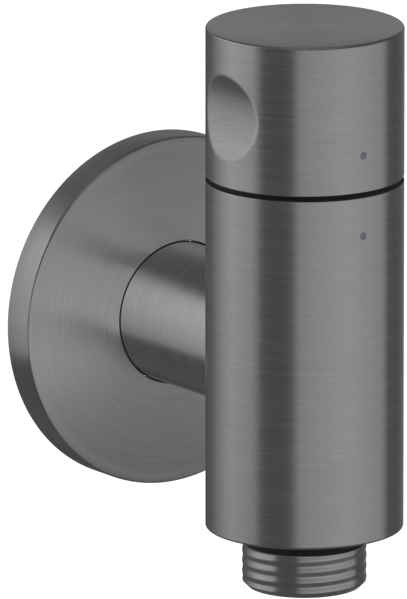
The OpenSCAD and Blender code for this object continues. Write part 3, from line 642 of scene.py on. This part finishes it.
def makeSpring(v):
    count = int(v["turns"] * v["steps"])
    shares = np.arange(count + 1) / count
    climb = np.interp(shares, [0, v["closed"], 1 - v["closed"], 1], [0, v["closedClimb"], 1 - v["closedClimb"], 1])
    angles = shares * v["turns"] * 2 * math.pi
    middle = np.column_stack([v["radius"] * np.cos(angles), v["radius"] * np.sin(angles),
                              v["low"] + (v["high"] - v["low"]) * climb])
    points, faces = [], []
    for i, (centre, a) in enumerate(zip(middle, angles)):
        for k in range(v["sides"]):
            t = 2 * math.pi * k / v["sides"]
            offset = np.array([math.cos(t) * math.cos(a), math.cos(t) * math.sin(a), math.sin(t)]) * v["wire"]
            points.append(tuple((centre + offset) * mm))
    for i in range(count):
        for k in range(v["sides"]):
            n = (k + 1) % v["sides"]
            low, high = i * v["sides"], (i + 1) * v["sides"]
            faces.append([low + k, high + k, high + n, low + n])
    faces.append(list(range(v["sides"])))
    faces.append([count * v["sides"] + k for k in range(v["sides"] - 1, -1, -1)])
    mesh = bpy.data.meshes.new("closing_spring")
    mesh.from_pydata(points, [], faces)
    mesh.update()
    return mesh


spring = addPiece("closing_spring", makeSpring(springValues), bodyAxis, "steel", "stainless_steel", "valve",
                  "check_spring")
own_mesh(spring)


# Studio

studioValues = {"floor": -0.25, "size": 12, "plain": 0.85, "floorTone": "#e8e8e6", "floorLift": 0.35}


def addStage(name, points, faces, material):
    mesh = bpy.data.meshes.new(name)
    mesh.from_pydata(points, [], faces)
    mesh.materials.append(material)
    item = bpy.data.objects.new(name, mesh)
    scene.collection.objects.link(item)
    return item


def whiteRays(tree):
    # One for the rays that see white: the camera's, and those from a shiny or a clear surface
    rays = addNode(tree, "ShaderNodeLightPath")
    seen = addNode(tree, "ShaderNodeMath", {"operation": "MAXIMUM"},
                   links={0: rays.outputs["Is Camera Ray"], 1: rays.outputs["Is Glossy Ray"]})
    return addNode(tree, "ShaderNodeMath", {"operation": "MAXIMUM"},
                   links={0: seen.outputs[0], 1: rays.outputs["Is Transmission Ray"]}).outputs[0]


def paperFloor(v):
    # White paper, matt, lit as it is and lifted to white where the camera or a shiny surface looks at it
    material, tree, shader = newMaterial("paperWhiteMatt", Roughness=0.9, **{"Base Color": linear(v["floorTone"])})
    lift = addNode(tree, "ShaderNodeMath", {"operation": "MULTIPLY"}, {1: v["floorLift"]}, {0: whiteRays(tree)})
    glow = addNode(tree, "ShaderNodeEmission", links={"Strength": lift.outputs[0]})
    both = addNode(tree, "ShaderNodeAddShader", links={0: shader.outputs[0], 1: glow.outputs[0]})
    tree.links.new(both.outputs[0], tree.nodes["Material Output"].inputs["Surface"])
    corners = [(x * v["size"], y * v["size"], v["floor"]) for x, y in ((-1, -1), (1, -1), (1, 1), (-1, 1))]
    addStage("studio_floor", corners, [(0, 1, 2, 3)], material)


def studioWorld(v):
    world = bpy.data.worlds.new("studioWorld")
    scene.world = world
    world.use_nodes = True
    tree = world.node_tree
    tree.nodes.clear()
    plain = addNode(tree, "ShaderNodeBackground", values={"Color": (1, 1, 1, 1), "Strength": v["plain"]})
    white = addNode(tree, "ShaderNodeBackground", values={"Color": (1, 1, 1, 1), "Strength": 1.0})
    mixed = addNode(tree, "ShaderNodeMixShader", links={0: whiteRays(tree), 1: plain.outputs[0], 2: white.outputs[0]})
    addNode(tree, "ShaderNodeOutputWorld", links={"Surface": mixed.outputs[0]})


# Grey tent round the valve, seen only in its reflections. Each card is a pale patch on the dark felt, with soft edges:
# its bearings and heights are degrees from the middle of the valve, where bearing 0 is straight in front and 90 at
# the right, and its tones run from its left edge over its middle to its right edge, times climb from low to high.
tentValues = {"radius": 0.6, "floor": -0.24, "felt": 0.187, "step": 1.5}
tentCards = [
    {"bearings": (-47, 71), "rises": (-26.5, 2), "edge": (7, 6.5), "tones": (0.76, 1.03, 0.70), "climb": (1, 1)},
    {"bearings": (120, 180), "rises": (10, 29), "edge": (20, 16), "tones": (0.41, 0.41, 0.41), "climb": (1, 1)},
    {"bearings": (115, 168), "rises": (-40, 10), "edge": (14, 14), "tones": (0.24, 0.24, 0.03), "climb": (1, 1)},
    {"bearings": (-171, -91), "rises": (-22.6, 35), "edge": (9, 4.4), "tones": (0.34, 1.35, 1.03),
     "climb": (0.6, 1.22)},
]


def softWindow(x, low, high, edge):
    climb = np.clip((x - low) / edge + 0.5, 0, 1)
    fall = np.clip((high - x) / edge + 0.5, 0, 1)
    return climb * climb * (3 - 2 * climb) * fall * fall * (3 - 2 * fall)


def onlyMirrored(item):
    for ray in ("visible_camera", "visible_diffuse", "visible_shadow", "visible_transmission"):
        setattr(item, ray, False)


def addTent(v):
    bearings = np.arange(-180, 180, v["step"])
    rises = np.arange(-90, 90.01, v["step"])
    points = []
    for rise in np.radians(rises):
        if rise > 0:
            reach, z = v["radius"] * math.cos(rise), v["radius"] * math.sin(rise)
        else:
            z = max(v["radius"] * math.tan(rise), v["floor"]) if rise > -1.5 else v["floor"]
            reach = z / math.tan(rise) if rise < -0.01 else v["radius"]
        for bearing in np.radians(bearings):
            points.append((max(reach, 1e-4) * math.sin(bearing), -0.044 - max(reach, 1e-4) * math.cos(bearing), z))
    grid = np.meshgrid(bearings, rises)
    tone = np.full(grid[0].shape, v["felt"])
    for card in tentCards:
        middle = sum(card["bearings"]) / 2
        half = (card["bearings"][1] - card["bearings"][0]) / 2
        turn = (grid[0] - middle + 180) % 360 - 180
        weight = softWindow(turn, -half, half, card["edge"][0])
        weight *= softWindow(grid[1], *card["rises"], card["edge"][1])
        own = np.interp(turn, [-half, 0, half], card["tones"]) * np.interp(grid[1], card["rises"], card["climb"])
        tone += (own - tone) * weight
    count = len(bearings)
    faces = [(i * count + k, i * count + (k + 1) % count, (i + 1) * count + (k + 1) % count, (i + 1) * count + k)
             for i in range(len(rises) - 1) for k in range(count)]
    material, tree, shader = newMaterial("tentClothGreys")
    shade = addNode(tree, "ShaderNodeAttribute", {"attribute_name": "tone"})
    glow = addNode(tree, "ShaderNodeEmission", links={"Color": shade.outputs["Color"]})
    tree.links.new(glow.outputs[0], tree.nodes["Material Output"].inputs["Surface"])
    tent = addStage("reflection_tent", points, faces, material)
    colours = tent.data.attributes.new("tone", "FLOAT_COLOR", "POINT")
    values = np.ones((tone.size, 4), np.float32)
    values[:, :3] = tone.reshape(-1, 1)
    colours.data.foreach_set("color", values.ravel())
    onlyMirrored(tent)


# Painted reflection: dim glowing grey sheets just inside the arm's left side, seen only in reflections, which paint the
# arm's dark bands into the rosette.
# Each band is its low and high end in degrees round the arm, 0 at its left and 90 on top, its softness and its cover.
armBandValues = {"radius": 11.8, "from": -7.9, "to": -33, "tone": 0.2, "step": 2, "turn": (-90, 116),
              "bands": ((-110, -13, 10, 0.85), (46, 66, 8, 0.6), (100, 130, 5, 0.8))}


def addArmReflectionBands(v):
    turns = np.arange(v["turn"][0], v["turn"][1] + 1, v["step"])
    cover = sum(share * softWindow(turns, *band) for *band, share in v["bands"])
    points = [(-v["radius"] * math.cos(a) * mm, y * mm, v["radius"] * math.sin(a) * mm)
              for y in (v["from"], v["to"]) for a in np.radians(turns)]
    count = len(turns)
    faces = [(i, i + 1, count + i + 1, count + i) for i in range(count - 1)]
    material, tree, shader = newMaterial("armReflectionPaintedGrey")
    share = addNode(tree, "ShaderNodeAttribute", {"attribute_name": "cover"})
    # a dim grey glow, where the cover is full, paints the arm's reflected dark bands
    glow = addNode(tree, "ShaderNodeEmission", values={"Color": (v["tone"], v["tone"], v["tone"], 1)})
    clear = addNode(tree, "ShaderNodeBsdfTransparent")
    mixed = addNode(tree, "ShaderNodeMixShader",
                    links={0: share.outputs["Fac"], 1: clear.outputs[0], 2: glow.outputs[0]})
    tree.links.new(mixed.outputs[0], tree.nodes["Material Output"].inputs["Surface"])
    armBandSheet = addStage("reflection_painted_arm_bands", points, faces, material)
    covers = armBandSheet.data.attributes.new("cover", "FLOAT", "POINT")
    covers.data.foreach_set("value", np.tile(cover, 2).astype(np.float32))
    onlyMirrored(armBandSheet)


paperFloor(studioValues)
studioWorld(studioValues)
addTent(tentValues)
addArmReflectionBands(armBandValues)


def softbox(name, place, aim, size, watts):
    data = bpy.data.lights.new(name, "AREA")
    data.shape = "DISK"
    data.size = size
    data.energy = watts
    light = bpy.data.objects.new(name, data)
    scene.collection.objects.link(light)
    light.location = place
    light.rotation_mode = "QUATERNION"
    light.rotation_quaternion = (Vector(aim) - Vector(place)).to_track_quat("-Z", "Y")


# the pieces mirror the tent and not each other, as if a screen stood between them in the photograph's studio
for item in bpy.data.objects:
    if item.type == "MESH" and not item.name.startswith(("reflection", "studio")):
        item.visible_glossy = False
softbox("overhead", (-0.3, -0.5, 1.1), (0, -0.04, 0), 0.9, 6)
print("valve: studio set")
